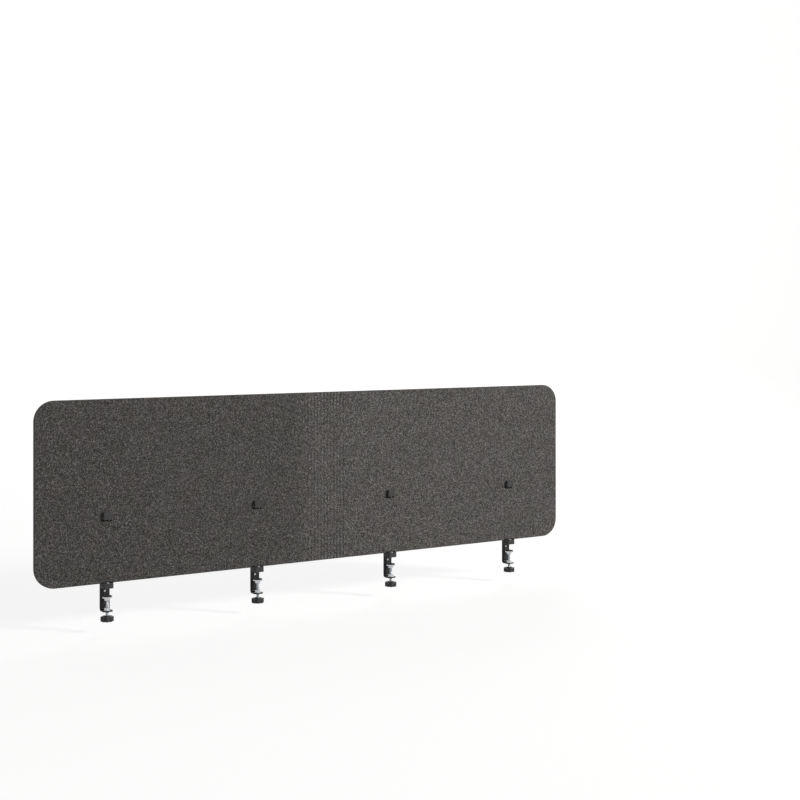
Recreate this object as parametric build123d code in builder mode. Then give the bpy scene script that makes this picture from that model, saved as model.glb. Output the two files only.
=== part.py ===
"""Desk divider screen: a felt board hung on four brackets that clamp to a desk's rear edge.

Millimetres. X runs along the board, Y points away from the user, Z points up.
The origin is the middle of the desk top's rear upper edge: the desk lies at negative Y, below zero Z.
"""
from build123d import *
import os

os.makedirs("parts", exist_ok=True)

# Felt board: its back lies in the plane of the desk's rear edge
panel_width = 1600
panel_height = 450
panel_thickness = 12
panel_corner_radius = 50
panel_lift = 12  # the lower edge lies this far above the desk top
panel_edge_softening = 0.8

# Slots in the board, one for each bracket
bracket_count = 4
bracket_end_distance = 180  # from a board end to the nearest slot's middle
slot_width = 26
slot_height = 9.5
slot_above_lower_edge = 150.5
slot_corner_radius = 1.5

# Grooved band in the board's middle: cuts in the back let it fold, and show as creases in front
groove_count = 12
groove_pitch = 10
groove_width = 3
groove_depth = 8
crease_width = 2.4
crease_depth = 0.4

# Bracket, one bent steel strip
strip_thickness = 3
upright_width = 25
neck_width = 16
neck_shoulder_drop = 1.5  # the upright keeps its full width up to this far below the neck
bend_radius = 4  # inside radius of the bend under the desk
neck_bend_radius = 1  # inside radius of the two bends at the neck
hook_rise = 12  # the upturned end stands this far above the neck
hook_stand_off = 3  # gap from the board's face to the upturned end
arm_corner_radius = 6

# Cap over the upturned end
cap_wall = 2
cap_width = 20.6
cap_overhang = 1  # the cap reaches this far below the neck
cap_clearance = 0.15
cap_edge_radius = 1.5

# Upper jaw, a steel angle: its tongue passes the upright's window and its flange lies behind it
jaw_width = 16
jaw_thickness = 3
jaw_reach = 24.5  # the tongue covers this much of the desk top
jaw_bend_radius = 1.5
jaw_corner_radius = 3
window_clearance = 0.15
flange_length = 32

# Rivets that join the angle to the upright
rivet_radius = 2.5
rivet_head_radius = 4.5
rivet_head_height = 1.8
rivet_crown_radius = 1.2
rivet_clearance = 0.05
rivet_spacing = 12
rivet_end_distance = 7  # from the flange's lower end to the lower rivet
rivet_front_sink = 0.1  # the front ends lie this far below the upright's face

# Rubber pad under the tongue
upper_pad_thickness = 1.5
upper_pad_width = 15
upper_pad_corner_radius = 2
upper_pad_front_inset = 1  # from the tongue's tip
upper_pad_back_inset = 2.5  # from the upright

# Moulded cover over the tongue, with a lip in front of the board's lower edge
cover_width = 27
cover_front_wall = 1.85
cover_clearance = 0.15
cover_front_height = 13  # above the desk top
cover_lip_height = 17
cover_lip_thickness = 2
cover_lip_corner_radius = 6
cover_skirt_gap = 0.5  # between the cover's lower rim and the desk top
cover_board_gap = 0.3
cover_corner_radius = 5
cover_rim_radius = 1.2
pocket_width = 22
pocket_front_wall = 2.4
pocket_floor_height = 6.4
pocket_corner_radius = 2
pocket_rib_width = 9.2  # the rib between the two pockets carries the screw's head
pocket_rib_height = 5.6

# Screw that holds the cover to the tongue
cover_screw_radius = 2
cover_screw_head_radius = 4
cover_screw_head_height = 2.8
cover_screw_crown_radius = 1.2
cover_screw_tip_gap = 0.3
cover_screw_clearance = 0.1
socket_across_flats = 2.5
socket_depth = 1.6

# Clamp screw, its nut and its range
screw_radius = 4
thread_clearance = 0.05
nut_across_flats = 13
nut_height = 6.5
nut_corner_radius = 7.2
nut_chamfer = 0.7
arm_hole_radius = 4.6
screw_edge_distance = 15  # from the desk's rear edge forward to the screw's axis
arm_tip_margin = 10
desk_thickness = 18  # the jaw's gap at rest
desk_thickness_most = 35
desk_thickness_least = 10
open_gap = 1  # between the boss and the nut when the jaw is widest
wheel_gap = 2  # between the wheel and the arm when the jaw is narrowest

# Pressure plate, its pad, and the screw's head inside its boss
plate_radius = 12
plate_thickness = 3
lower_pad_thickness = 2
lower_pad_inset = 0.5
lower_pad_edge_radius = 0.5
boss_radius = 7
boss_lip = 3.4
screw_head_radius = 4
screw_head_height = 2.5
screw_neck_radius = 2.75
swivel_clearance = 0.05
boss_gap = 0.3
screw_end_chamfer = 0.8

# Thumb wheel
wheel_radius = 16
wheel_height = 14
wheel_lobes = 8
lobe_cut_radius = 6
lobe_cut_depth = 2.6
wheel_cusp_radius = 1
wheel_edge_radius = 0.8
wheel_hub_radius = 8
wheel_hub_height = 2
wheel_floor = 2
wheel_fit_clearance = 0.02

# Every cut runs past its faces by this much
overrun = 1

# Places worked out from the sizes above
slot_spacing = (panel_width - 2 * bracket_end_distance) / (bracket_count - 1)
bracket_places = [
    (number, (number - (bracket_count + 1) / 2) * slot_spacing) for number in range(1, bracket_count + 1)
]
board_front = -panel_thickness
board_middle_height = panel_lift + panel_height / 2
slot_low = panel_lift + slot_above_lower_edge
slot_high = slot_low + slot_height

neck_high = slot_high
neck_low = neck_high - strip_thickness
neck_middle = neck_high - strip_thickness / 2
hook_back = board_front - hook_stand_off
hook_front = hook_back - strip_thickness
hook_high = neck_high + hook_rise

screw_axis = -screw_edge_distance
pad_face = -desk_thickness
plate_high = pad_face - lower_pad_thickness
plate_low = plate_high - plate_thickness
head_high = plate_low - swivel_clearance
head_low = head_high - screw_head_height
head_room_low = head_low - swivel_clearance
boss_low = head_room_low - boss_lip
thread_high = boss_low - boss_gap
nut_high = boss_low - (desk_thickness_most - desk_thickness) - open_gap
arm_high = nut_high - nut_height
arm_low = arm_high - strip_thickness
wheel_high = arm_low - (desk_thickness - desk_thickness_least) - wheel_gap
wheel_low = wheel_high - wheel_height
screw_low = wheel_low + wheel_floor

tongue_low = upper_pad_thickness
tongue_high = tongue_low + jaw_thickness
flange_low = tongue_high - flange_length
flange_back = strip_thickness + jaw_thickness
cover_front = -(jaw_reach + cover_clearance + cover_front_wall)
cover_back = -cover_board_gap
cover_ledge_height = panel_lift - cover_board_gap
lip_back = board_front - cover_board_gap
lip_front = lip_back - cover_lip_thickness
pocket_front = cover_front + pocket_front_wall
cover_screw_place = (pocket_front + lip_front) / 2
cover_screw_seat = pocket_floor_height + pocket_rib_height
pocket_length = lip_front - pocket_front
rivet_heights = [
    flange_low + rivet_end_distance,
    flange_low + rivet_end_distance + rivet_spacing,
]

# Felt board: rounded outline, hook slots, rear grooves and front creases
with BuildPart() as panel:
    with BuildSketch(Plane.XZ):
        with Locations((0, board_middle_height)):
            RectangleRounded(panel_width, panel_height, panel_corner_radius)
    extrude(amount=panel_thickness)
    fillet(panel.edges().filter_by(Plane.XZ), radius=panel_edge_softening)
    with BuildSketch(Plane.XZ.offset(-overrun)):
        with Locations([(place, (slot_low + slot_high) / 2) for number, place in bracket_places]):
            RectangleRounded(slot_width, slot_height, slot_corner_radius)
    extrude(amount=panel_thickness + 2 * overrun, mode=Mode.SUBTRACT)
    with BuildSketch(Plane.XZ.offset(-overrun)):
        with Locations((0, board_middle_height)):
            with GridLocations(groove_pitch, 0, groove_count, 1):
                Rectangle(groove_width, panel_height + 2 * overrun)
    extrude(amount=groove_depth + overrun, mode=Mode.SUBTRACT)
    with BuildSketch(Plane.XZ.offset(panel_thickness - crease_depth)):
        with Locations((0, board_middle_height)):
            with GridLocations(groove_pitch, 0, groove_count, 1):
                Rectangle(crease_width, panel_height + 2 * overrun)
    extrude(amount=crease_depth + overrun, mode=Mode.SUBTRACT)
panel.part.label = "panel"
export_step(panel.part, "parts/panel.step")

# Brackets: lower arm, upright, neck through the slot and upturned hook, bent from one strip
for number, place in bracket_places:
    with BuildPart() as bracket:
        with BuildLine(Plane.YZ.offset(place)):
            strip_path = FilletPolyline(
                (screw_axis - arm_tip_margin, arm_high - strip_thickness / 2),
                (strip_thickness / 2, arm_high - strip_thickness / 2),
                (strip_thickness / 2, neck_middle),
                (hook_back - strip_thickness / 2, neck_middle),
                (hook_back - strip_thickness / 2, hook_high),
                radius=[
                    bend_radius + strip_thickness / 2,
                    neck_bend_radius + strip_thickness / 2,
                    neck_bend_radius + strip_thickness / 2,
                ],
            )
        with BuildSketch(Plane(origin=strip_path @ 0, x_dir=(1, 0, 0), z_dir=strip_path % 0)):
            Rectangle(upright_width, strip_thickness)
        sweep()
        # Above square shoulders the strip is narrower, so that its hook passes the slot
        with BuildSketch(Plane.XZ.offset(-strip_thickness - overrun)):
            with Locations((place, neck_low - neck_shoulder_drop)):
                Rectangle(
                    upright_width + 2 * overrun,
                    neck_shoulder_drop + strip_thickness + hook_rise + overrun,
                    align=(Align.CENTER, Align.MIN),
                )
                Rectangle(
                    neck_width,
                    neck_shoulder_drop + strip_thickness + hook_rise + overrun,
                    align=(Align.CENTER, Align.MIN),
                    mode=Mode.SUBTRACT,
                )
        extrude(amount=strip_thickness - hook_front + 2 * overrun, mode=Mode.SUBTRACT)
        tip_edges = bracket.edges().filter_by(Axis.Z).group_by(Axis.Y)[0]
        fillet(tip_edges, radius=arm_corner_radius)
        with Locations(Plane((place, screw_axis, arm_high))):
            Hole(arm_hole_radius, depth=strip_thickness + overrun)
        # Window for the jaw's tongue and its bend
        with BuildSketch(Plane.XZ.offset(overrun)):
            with Locations((place, tongue_high + window_clearance)):
                Rectangle(
                    jaw_width + 2 * window_clearance,
                    jaw_thickness + jaw_bend_radius + 2 * window_clearance,
                    align=(Align.CENTER, Align.MAX),
                )
        extrude(amount=-strip_thickness - 2 * overrun, mode=Mode.SUBTRACT)
        with Locations([Plane((place, 0, height), z_dir=(0, -1, 0)) for height in rivet_heights]):
            Hole(rivet_radius + rivet_clearance, depth=strip_thickness + overrun)
    bracket.part.label = f"bracket_{number}"
    export_step(bracket.part, f"parts/bracket_{number}.step")

# Hook caps: moulded sleeves over the upturned ends
for number, place in bracket_places:
    with BuildPart() as hook_cap:
        with BuildSketch(Plane.XY.offset(neck_low - cap_overhang)):
            with Locations((place, hook_front - cap_wall)):
                Rectangle(cap_width, strip_thickness + 2 * cap_wall, align=(Align.CENTER, Align.MIN))
        extrude(amount=cap_overhang + strip_thickness + hook_rise + cap_wall)
        outer_edges = hook_cap.edges().filter_by(Axis.Z) + hook_cap.faces().sort_by(Axis.Z)[-1].edges()
        fillet(outer_edges, radius=cap_edge_radius)
        with BuildSketch(Plane.XY.offset(neck_low - cap_overhang)):
            with Locations((place, hook_front - cap_clearance)):
                Rectangle(
                    neck_width + 2 * cap_clearance,
                    strip_thickness + 2 * cap_clearance,
                    align=(Align.CENTER, Align.MIN),
                )
        extrude(amount=cap_overhang + strip_thickness + hook_rise + cap_clearance, mode=Mode.SUBTRACT)
        # The rear wall is open below for the neck and its bend
        with BuildSketch(Plane.XY.offset(neck_low - cap_overhang)):
            with Locations((place, hook_back)):
                Rectangle(
                    neck_width + 2 * cap_clearance,
                    cap_wall + overrun,
                    align=(Align.CENTER, Align.MIN),
                )
        extrude(
            amount=cap_overhang + strip_thickness + neck_bend_radius + cap_clearance,
            mode=Mode.SUBTRACT,
        )
    hook_cap.part.label = f"hook_cap_{number}"
    export_step(hook_cap.part, f"parts/hook_cap_{number}.step")

# Upper jaws: tongue on the desk top, flange behind the upright
for number, place in bracket_places:
    with BuildPart() as upper_jaw:
        with BuildLine(Plane.YZ.offset(place)):
            jaw_path = FilletPolyline(
                (-jaw_reach, tongue_low + jaw_thickness / 2),
                (strip_thickness + jaw_thickness / 2, tongue_low + jaw_thickness / 2),
                (strip_thickness + jaw_thickness / 2, flange_low),
                radius=jaw_bend_radius + jaw_thickness / 2,
            )
        with BuildSketch(Plane(origin=jaw_path @ 0, x_dir=(1, 0, 0), z_dir=jaw_path % 0)):
            Rectangle(jaw_width, jaw_thickness)
        sweep()
        tongue_edges = upper_jaw.edges().filter_by(Axis.Z).group_by(Axis.Y)[0]
        flange_edges = upper_jaw.edges().filter_by(Axis.Y).group_by(Axis.Z)[0]
        fillet(tongue_edges + flange_edges, radius=jaw_corner_radius)
        with Locations(Plane((place, cover_screw_place, tongue_high))):
            Hole(cover_screw_radius + cover_screw_clearance, depth=jaw_thickness + overrun)
        with Locations([Plane((place, flange_back, height), z_dir=(0, 1, 0)) for height in rivet_heights]):
            Hole(rivet_radius + rivet_clearance, depth=jaw_thickness + overrun)
    upper_jaw.part.label = f"upper_jaw_{number}"
    export_step(upper_jaw.part, f"parts/upper_jaw_{number}.step")

# Rivets: shank through upright and flange, domed head behind
with BuildPart() as jaw_rivets:
    with BuildSketch(Plane.XZ.offset(-rivet_front_sink)):
        with Locations([(place, height) for number, place in bracket_places for height in rivet_heights]):
            Circle(rivet_radius)
    extrude(amount=-(flange_back - rivet_front_sink))
    with BuildSketch(Plane.XZ.offset(-flange_back)):
        with Locations([(place, height) for number, place in bracket_places for height in rivet_heights]):
            Circle(rivet_head_radius)
    extrude(amount=-rivet_head_height)
    head_rims = jaw_rivets.faces().group_by(Axis.Y)[-1].edges()
    fillet(head_rims, radius=rivet_crown_radius)
jaw_rivets.part.label = "jaw_rivets"
export_step(jaw_rivets.part, "parts/jaw_rivets.step")

# Upper pads: rubber under the tongues
for number, place in bracket_places:
    with BuildPart() as upper_pad:
        with BuildSketch():
            with Locations((place, -upper_pad_back_inset)):
                Rectangle(
                    upper_pad_width,
                    jaw_reach - upper_pad_front_inset - upper_pad_back_inset,
                    align=(Align.CENTER, Align.MAX),
                )
        extrude(amount=upper_pad_thickness)
        fillet(upper_pad.edges().filter_by(Axis.Z), radius=upper_pad_corner_radius)
    upper_pad.part.label = f"upper_pad_{number}"
    export_step(upper_pad.part, f"parts/upper_pad_{number}.step")

# Jaw covers: ledge under the board, lip in front of its lower edge, two pockets beside a rib
for number, place in bracket_places:
    with BuildPart() as jaw_cover:
        with BuildSketch(Plane.YZ.offset(place)):
            with BuildLine():
                Polyline(
                    (cover_front, cover_skirt_gap),
                    (cover_front, cover_front_height),
                    (lip_front, cover_lip_height),
                    (lip_back, cover_lip_height),
                    (lip_back, cover_ledge_height),
                    (cover_back, cover_ledge_height),
                    (cover_back, cover_skirt_gap),
                    close=True,
                )
            make_face()
        extrude(amount=cover_width / 2, both=True)
        fillet(jaw_cover.edges().filter_by(Axis.Z).group_by(Axis.Y)[0], radius=cover_corner_radius)
        sloping_top = jaw_cover.faces().sort_by(Axis.Z)[-2]
        fillet(sloping_top.edges().sort_by(Axis.Y)[:3], radius=cover_rim_radius)
        # Seen from the front the lip's upper corners are round
        with BuildSketch(Plane.XZ):
            with Locations((place, cover_lip_height)):
                RectangleRounded(
                    cover_width,
                    2 * cover_lip_height,
                    cover_lip_corner_radius,
                    align=(Align.CENTER, Align.MAX),
                )
        extrude(amount=-cover_front + overrun, mode=Mode.INTERSECT)
        # Open well above the rib, and a deeper pocket on each side of it
        with BuildSketch(Plane.XY.offset(cover_screw_seat)):
            with Locations((place, cover_screw_place)):
                RectangleRounded(pocket_width, pocket_length, pocket_corner_radius)
        extrude(amount=cover_lip_height, mode=Mode.SUBTRACT)
        with BuildSketch(Plane.XY.offset(pocket_floor_height)):
            with Locations((place, cover_screw_place)):
                RectangleRounded(pocket_width, pocket_length, pocket_corner_radius)
                Rectangle(pocket_rib_width, pocket_length, mode=Mode.SUBTRACT)
        extrude(amount=pocket_rib_height, mode=Mode.SUBTRACT)
        # Channel for the tongue and the pad
        with BuildSketch(Plane.XY.offset(cover_skirt_gap)):
            with Locations((place, -jaw_reach - cover_clearance)):
                Rectangle(
                    jaw_width + 2 * cover_clearance,
                    jaw_reach + cover_clearance + overrun,
                    align=(Align.CENTER, Align.MIN),
                )
        extrude(amount=tongue_high + cover_clearance - cover_skirt_gap, mode=Mode.SUBTRACT)
        with Locations(Plane((place, cover_screw_place, cover_screw_seat))):
            Hole(cover_screw_radius + cover_screw_clearance, depth=cover_screw_seat)
    jaw_cover.part.label = f"jaw_cover_{number}"
    export_step(jaw_cover.part, f"parts/jaw_cover_{number}.step")

# Cover screws: socket heads on the covers' ribs, shanks into the tongues
with BuildPart() as cover_screws:
    screw_spots = [(place, cover_screw_place) for number, place in bracket_places]
    with BuildSketch(Plane.XY.offset(tongue_low + cover_screw_tip_gap)):
        with Locations(screw_spots):
            Circle(cover_screw_radius)
    extrude(amount=cover_screw_seat - tongue_low - cover_screw_tip_gap)
    with BuildSketch(Plane.XY.offset(cover_screw_seat)):
        with Locations(screw_spots):
            Circle(cover_screw_head_radius)
    extrude(amount=cover_screw_head_height)
    fillet(cover_screws.faces().group_by(Axis.Z)[-1].edges(), radius=cover_screw_crown_radius)
    with BuildSketch(Plane.XY.offset(cover_screw_seat + cover_screw_head_height)):
        with Locations(screw_spots):
            RegularPolygon(socket_across_flats / 2, 6, major_radius=False)
    extrude(amount=-socket_depth, mode=Mode.SUBTRACT)
cover_screws.part.label = "cover_screws"
export_step(cover_screws.part, "parts/cover_screws.step")

# Clamp nuts: welded on the lower arms
for number, place in bracket_places:
    with BuildPart() as clamp_nut:
        with BuildSketch(Plane.XY.offset(arm_high)):
            with Locations((place, screw_axis)):
                Circle(nut_corner_radius)
        extrude(amount=nut_height)
        chamfer(clamp_nut.edges().filter_by(GeomType.CIRCLE), length=nut_chamfer)
        with BuildSketch(Plane.XY.offset(arm_high)):
            with Locations((place, screw_axis)):
                RegularPolygon(nut_across_flats / 2, 6, major_radius=False)
                Circle(screw_radius + thread_clearance, mode=Mode.SUBTRACT)
        extrude(amount=nut_height, mode=Mode.INTERSECT)
    clamp_nut.part.label = f"clamp_nut_{number}"
    export_step(clamp_nut.part, f"parts/clamp_nut_{number}.step")

# Clamp screws: threaded rod with a necked head inside the pressure plate's boss
for number, place in bracket_places:
    with BuildPart() as clamp_screw:
        with BuildSketch(Plane((place, screw_axis, 0), x_dir=(1, 0, 0), z_dir=(0, -1, 0))):
            with BuildLine():
                Polyline(
                    (0, screw_low),
                    (screw_radius - screw_end_chamfer, screw_low),
                    (screw_radius, screw_low + screw_end_chamfer),
                    (screw_radius, thread_high - screw_end_chamfer),
                    (screw_radius - screw_end_chamfer, thread_high),
                    (screw_neck_radius, thread_high),
                    (screw_neck_radius, head_low),
                    (screw_head_radius, head_low),
                    (screw_head_radius, head_high),
                    (0, head_high),
                    close=True,
                )
            make_face()
        revolve(axis=Axis((place, screw_axis, 0), (0, 0, 1)))
    clamp_screw.part.label = f"clamp_screw_{number}"
    export_step(clamp_screw.part, f"parts/clamp_screw_{number}.step")

# Thumb wheels: lobed grips pressed on the screws' lower ends
for number, place in bracket_places:
    with BuildPart() as thumb_wheel:
        with BuildSketch(Plane.XY.offset(wheel_low)):
            with Locations((place, screw_axis)):
                Circle(wheel_radius)
                with PolarLocations(wheel_radius + lobe_cut_radius - lobe_cut_depth, wheel_lobes):
                    Circle(lobe_cut_radius, mode=Mode.SUBTRACT)
        extrude(amount=wheel_height - wheel_hub_height)
        fillet(thumb_wheel.edges().filter_by(Axis.Z), radius=wheel_cusp_radius)
        rims = thumb_wheel.faces().filter_by(Axis.Z).edges()
        fillet(rims, radius=wheel_edge_radius)
        with BuildSketch(Plane.XY.offset(wheel_high - wheel_hub_height)):
            with Locations((place, screw_axis)):
                Circle(wheel_hub_radius)
        extrude(amount=wheel_hub_height)
        with BuildSketch(Plane.XY.offset(screw_low)):
            with Locations((place, screw_axis)):
                Circle(screw_radius + wheel_fit_clearance)
        extrude(amount=wheel_height, mode=Mode.SUBTRACT)
    thumb_wheel.part.label = f"thumb_wheel_{number}"
    export_step(thumb_wheel.part, f"parts/thumb_wheel_{number}.step")

# Pressure plates: disc with a crimped boss that holds the screw's head
for number, place in bracket_places:
    with BuildPart() as pressure_plate:
        with BuildSketch(Plane((place, screw_axis, 0), x_dir=(1, 0, 0), z_dir=(0, -1, 0))):
            with BuildLine():
                Polyline(
                    (0, plate_high),
                    (plate_radius, plate_high),
                    (plate_radius, plate_low),
                    (boss_radius, plate_low),
                    (boss_radius, boss_low),
                    (screw_neck_radius + swivel_clearance, boss_low),
                    (screw_neck_radius + swivel_clearance, head_room_low),
                    (screw_head_radius + swivel_clearance, head_room_low),
                    (screw_head_radius + swivel_clearance, plate_low),
                    (0, plate_low),
                    close=True,
                )
            make_face()
        revolve(axis=Axis((place, screw_axis, 0), (0, 0, 1)))
    pressure_plate.part.label = f"pressure_plate_{number}"
    export_step(pressure_plate.part, f"parts/pressure_plate_{number}.step")

# Lower pads: rubber discs on the pressure plates
for number, place in bracket_places:
    with BuildPart() as lower_pad:
        with BuildSketch(Plane.XY.offset(plate_high)):
            with Locations((place, screw_axis)):
                Circle(plate_radius - lower_pad_inset)
        extrude(amount=lower_pad_thickness)
        fillet(lower_pad.edges().group_by(Axis.Z)[-1], radius=lower_pad_edge_radius)
    lower_pad.part.label = f"lower_pad_{number}"
    export_step(lower_pad.part, f"parts/lower_pad_{number}.step")
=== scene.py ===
"""Desk divider screen: the looks of its felt board, its clamp brackets and their hardware.

Metres, in the part's own frame: X along the board, Y away from the user, Z up.
"""
import logging
import math
from dataclasses import dataclass
from enum import Enum

import bpy
import numpy as np
from bpy.types import Material, NodeSocket, Object, World
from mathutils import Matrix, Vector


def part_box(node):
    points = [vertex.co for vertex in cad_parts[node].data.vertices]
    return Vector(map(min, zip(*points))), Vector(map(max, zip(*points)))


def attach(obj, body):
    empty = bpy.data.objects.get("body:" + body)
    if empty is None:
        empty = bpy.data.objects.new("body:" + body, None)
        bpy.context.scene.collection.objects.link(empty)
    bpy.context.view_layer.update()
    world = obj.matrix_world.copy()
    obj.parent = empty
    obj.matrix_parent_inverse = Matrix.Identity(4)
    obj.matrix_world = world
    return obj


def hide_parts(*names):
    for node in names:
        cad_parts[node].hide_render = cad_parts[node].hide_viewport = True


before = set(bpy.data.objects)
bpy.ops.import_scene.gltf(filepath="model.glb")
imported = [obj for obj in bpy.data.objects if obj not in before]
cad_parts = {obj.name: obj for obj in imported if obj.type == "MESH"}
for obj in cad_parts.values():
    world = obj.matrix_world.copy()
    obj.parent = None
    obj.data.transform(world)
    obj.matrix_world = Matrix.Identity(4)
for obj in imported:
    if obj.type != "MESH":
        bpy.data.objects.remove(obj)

log = logging.getLogger("desk_divider_screen")

MM = 0.001
WHITE = "#ffffff"
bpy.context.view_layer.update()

# Radius of the rings that close a round surface at its axis
AXIS = 0.01 * MM

# Angles of the points along a small quarter round
QUARTER = np.radians([0.0, 22.5, 45.0, 67.5, 90.0])

# Points of a round piece's profile
Profile = tuple[tuple[float, float], ...]


class Zone(Enum):
    """Which of the board's finishes a face takes."""

    FACE = 0
    CUT = 1
    SLOT = 2


class Turning(Enum):
    """Which body of a clamp a round piece rides on."""

    SPINDLE = "spindle"
    FOOT = "pressure_foot"


def linear(hex_colour: str) -> tuple[float, float, float, float]:
    """Turns an sRGB hex colour into the linear colour that a shader socket takes.

    Args:
        hex_colour: Six hex digits after a hash sign.

    Returns:
        Red, green, blue and an alpha of one.
    """
    shares = [int(hex_colour[start:start + 2], 16) / 255 for start in (1, 3, 5)]
    red, green, blue = [
        share / 12.92 if share <= 0.04045 else ((share + 0.055) / 1.055) ** 2.4 for share in shares
    ]
    return red, green, blue, 1.0


# Sockets of a Mix node that mixes colours, which its socket names don't tell apart
FACTOR, UNDER, OVER, MIXED = 0, 6, 7, 2

# What every node of a kind is set to here
SHARED_SETTINGS = {
    "TexNoise": {"noise_dimensions": "4D"},
    "Mix": {"data_type": "RGBA"},
}


class Shader:
    """The node tree of a material or of the world while it is being put together."""

    def __init__(self, owner: Material | World) -> None:
        """Starts an empty tree with Object coordinates.

        Args:
            owner: The material or world.
        """
        self.owner = owner
        owner.use_nodes = True
        self.tree = owner.node_tree
        self.tree.nodes.clear()
        self.place = self.add("TexCoord", output="Object")

    def add(
        self, kind: str, inputs: dict | None = None, output: int | str = 0, **settings: object
    ) -> NodeSocket | None:
        """Adds one node with its settings and links. A noise reads Object coordinates unless told otherwise.

        Args:
            kind: The node's Blender type without "ShaderNode" before it.
            inputs: Socket name or number, and its value, its hex colour or the socket that feeds it.
            output: Name or number of the output that is wanted.
            **settings: The node's own properties.

        Returns:
            That output, or nothing where the node ends the tree.
        """
        node = self.tree.nodes.new("ShaderNode" + kind)
        for key, value in (SHARED_SETTINGS.get(kind, {}) | settings).items():
            setattr(node, key, value)
        read = {"Vector": self.place} if kind == "TexNoise" else {}
        for key, value in (read | (inputs or {})).items():
            if isinstance(value, NodeSocket):
                self.tree.links.new(value, node.inputs[key])
            else:
                node.inputs[key].default_value = linear(value) if isinstance(value, str) else value
        return node.outputs[output] if node.outputs else None

    def threads(self, size: float, seed: float, width: float) -> NodeSocket:
        """Fine curly fibres: one where a noise crosses its middle value, falling to zero at a line's edge.

        Args:
            size: Spacing of the lines, in metres.
            seed: Which pattern.
            width: How far from the middle value a line reaches, as a share of the noise's range.

        Returns:
            The mask.
        """
        noise = self.add("TexNoise", {
            "W": seed, "Scale": 1 / size, "Detail": 3.0, "Roughness": 0.6, "Distortion": 2.5,
        })
        away = self.add("Math", {0: noise, 1: 0.5}, operation="SUBTRACT")
        away = self.add("Math", {0: away}, operation="ABSOLUTE")
        return self.add("MapRange", {"Value": away, "From Max": width, "To Min": 1.0, "To Max": 0.0})

    def close(self, relief: NodeSocket, depth: float, inputs: dict) -> Material:
        """Closes the tree with a Principled shader whose surface follows a relief.

        Args:
            relief: Height at each place.
            depth: What a height of one stands for, in metres.
            inputs: The shader's other sockets and their values or links.

        Returns:
            The material.
        """
        bump = self.add("Bump", {"Height": relief, "Distance": depth})
        surface = self.add("BsdfPrincipled", inputs | {"Normal": bump})
        self.add("OutputMaterial", {"Surface": surface})
        return self.owner


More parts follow.
